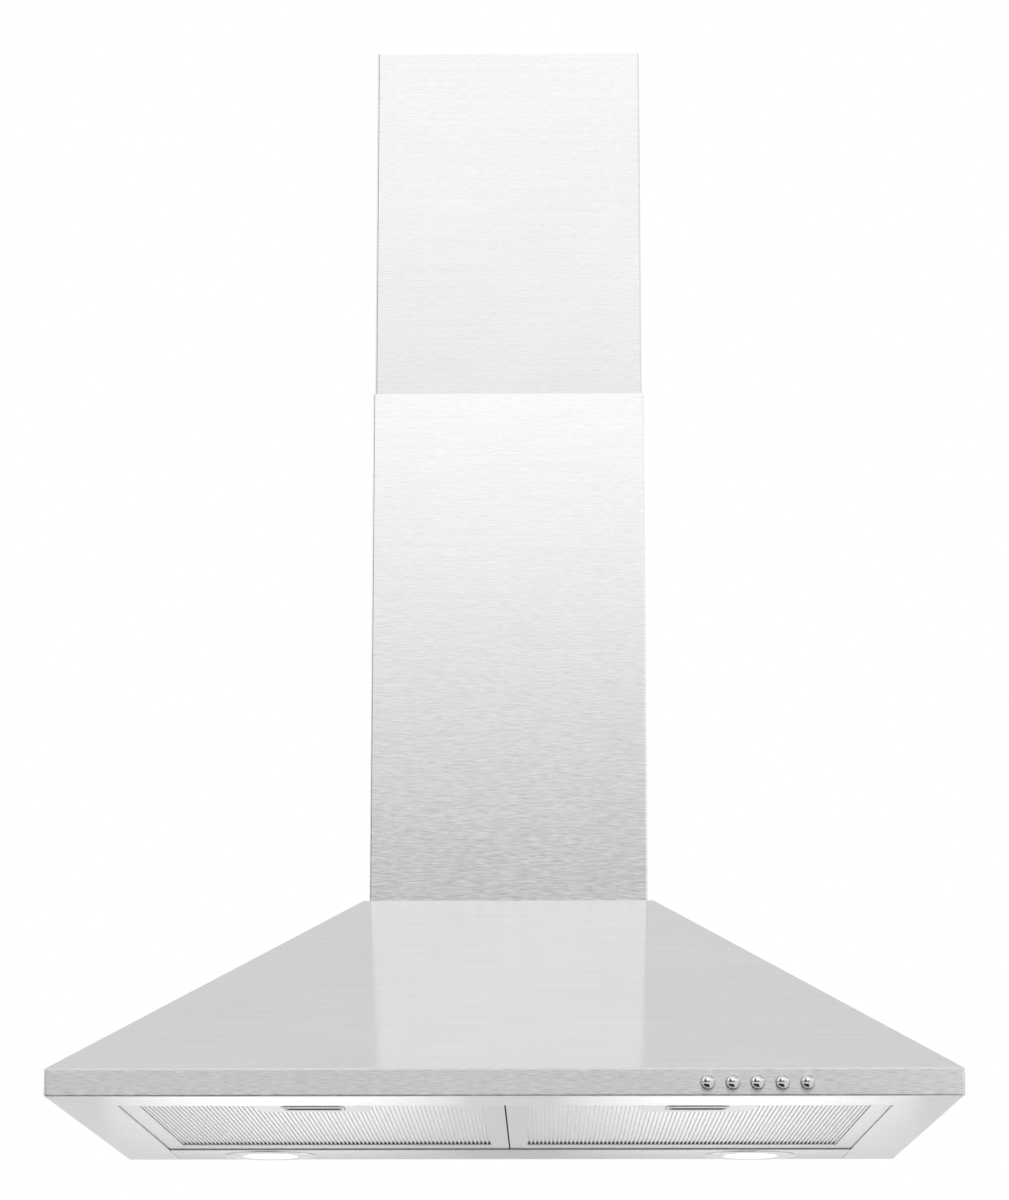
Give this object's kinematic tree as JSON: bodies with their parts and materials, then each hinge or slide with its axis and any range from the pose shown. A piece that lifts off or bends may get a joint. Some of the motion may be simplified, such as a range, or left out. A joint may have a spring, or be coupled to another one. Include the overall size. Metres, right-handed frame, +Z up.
{
  "type": "chimney range hood",
  "caption": "Wall-mounted pyramid range hood with telescopic chimney, push buttons, grease filters, lamps and blower, in brushed steel.",
  "frame": {"origin": "middle of the four wall holes, on the wall plane", "axes": "+Z up, +Y into the wall, the front faces -Y, +X to the right as seen from the front"},
  "size_m": [0.6, 0.4856, 0.8535],
  "materials": {
    "brushed_steel": "horizontal brushed stainless steel",
    "screw_steel": "plain steel",
    "chrome": "polished chrome",
    "lamp_glass": "frosted, lit",
    "lamp_can": "white enamel",
    "filter_aluminium": "satin",
    "latch_metal": "satin",
    "zinc_steel": "zinc plated, dull",
    "grey_plastic": "moulded",
    "black_plastic": "moulded",
    "white_plastic": "moulded"
  },
  "bodies": {
    "hood": {"back_panel": "zinc_steel", "blower_cover": "grey_plastic", "blower_cover_screws": "screw_steel", "blower_flange_screws": "screw_steel", "blower_housing": "grey_plastic", "cable_gland": "black_plastic", "canopy_front": "brushed_steel", "canopy_left": "brushed_steel", "canopy_right": "brushed_steel", "capacitor": "white_plastic", "chimney_foot_brackets": "zinc_steel", "chimney_foot_screws": "screw_steel", "damper_pin": "screw_steel", "inlet_guard": "black_plastic", "lamp_panel": "brushed_steel", "lamp_panel_rivets": "screw_steel", "left_lamp_can": "lamp_can", "left_lamp_lens": "lamp_glass", "left_lamp_ring": "chrome", "lower_chimney": "brushed_steel", "motor": "zinc_steel", "motor_screws": "screw_steel", "outlet_collar": "black_plastic", "right_lamp_can": "lamp_can", "right_lamp_lens": "lamp_glass", "right_lamp_ring": "chrome", "switch_housing": "grey_plastic", "terminal_block": "black_plastic", "terminal_box": "grey_plastic", "terminal_box_lid": "grey_plastic", "top_plate": "zinc_steel"},
    "upper_chimney_body": {"upper_chimney": "brushed_steel", "ceiling_bracket": "zinc_steel", "ceiling_bracket_screws": "screw_steel"},
    "impeller_body": {"impeller": "black_plastic", "motor_shaft": "screw_steel"},
    "left_flap_body": {"left_damper_flap": "black_plastic"},
    "right_flap_body": {"right_damper_flap": "black_plastic"},
    "button_1_body": {"button_1": "chrome"},
    "button_2_body": {"button_2": "chrome"},
    "button_3_body": {"button_3": "chrome"},
    "button_4_body": {"button_4": "chrome"},
    "button_5_body": {"button_5": "chrome"},
    "left_filter_body": {"left_filter_frame": "filter_aluminium", "left_filter_face": "filter_aluminium", "left_filter_core": "filter_aluminium", "left_filter_back": "filter_aluminium", "left_latch_plate": "filter_aluminium", "left_latch_box": "zinc_steel"},
    "left_latch_body": {"left_latch_slide": "latch_metal"},
    "right_filter_body": {"right_filter_frame": "filter_aluminium", "right_filter_face": "filter_aluminium", "right_filter_core": "filter_aluminium", "right_filter_back": "filter_aluminium", "right_latch_plate": "filter_aluminium", "right_latch_box": "zinc_steel"},
    "right_latch_body": {"right_latch_slide": "latch_metal"}
  },
  "joints": [
    {"name": "button_1_press", "type": "slide", "parent": "hood", "child": "button_1_body", "axis": [0, 1, 0], "range_m": [0, 0.002], "stiffness_N_per_m": 300, "springref_m": -0.001},
    {"name": "button_2_press", "type": "slide", "parent": "hood", "child": "button_2_body", "axis": [0, 1, 0], "range_m": [0, 0.002], "stiffness_N_per_m": 300, "springref_m": -0.001},
    {"name": "button_3_press", "type": "slide", "parent": "hood", "child": "button_3_body", "axis": [0, 1, 0], "range_m": [0, 0.002], "stiffness_N_per_m": 300, "springref_m": -0.001},
    {"name": "button_4_press", "type": "slide", "parent": "hood", "child": "button_4_body", "axis": [0, 1, 0], "range_m": [0, 0.002], "stiffness_N_per_m": 300, "springref_m": -0.001},
    {"name": "button_5_press", "type": "slide", "parent": "hood", "child": "button_5_body", "axis": [0, 1, 0], "range_m": [0, 0.002], "stiffness_N_per_m": 300, "springref_m": -0.001},
    {"name": "left_filter_swing", "type": "hinge", "parent": "hood", "child": "left_filter_body", "pos_m": [-0.1295, -0.082, -0.0889], "axis": [1, 0, 0], "range_deg": [0, 60]},
    {"name": "left_latch_pull", "type": "slide", "parent": "left_filter_body", "child": "left_latch_body", "axis": [0, 1, 0], "range_m": [0, 0.006], "stiffness_N_per_m": 300, "springref_m": -0.002},
    {"name": "right_filter_swing", "type": "hinge", "parent": "hood", "child": "right_filter_body", "pos_m": [0.1295, -0.082, -0.0889], "axis": [1, 0, 0], "range_deg": [0, 60]},
    {"name": "right_latch_pull", "type": "slide", "parent": "right_filter_body", "child": "right_latch_body", "axis": [0, 1, 0], "range_m": [0, 0.006], "stiffness_N_per_m": 300, "springref_m": -0.002},
    {"name": "upper_chimney_slide", "type": "slide", "parent": "hood", "child": "upper_chimney_body", "axis": [0, 0, 1], "range_m": [-0.21, 0.06]},
    {"name": "impeller_spin", "type": "hinge", "parent": "hood", "child": "impeller_body", "pos_m": [-0.046, -0.085, 0.009], "axis": [0, 1, 0], "continuous": true},
    {"name": "left_flap_swing", "type": "hinge", "parent": "hood", "child": "left_flap_body", "pos_m": [0, -0.085, 0.0909], "axis": [0, 1, 0], "range_deg": [0, 75]},
    {"name": "right_flap_swing", "type": "hinge", "parent": "hood", "child": "right_flap_body", "pos_m": [0, -0.085, 0.0909], "axis": [0, -1, 0], "range_deg": [0, 75]}
  ]
}
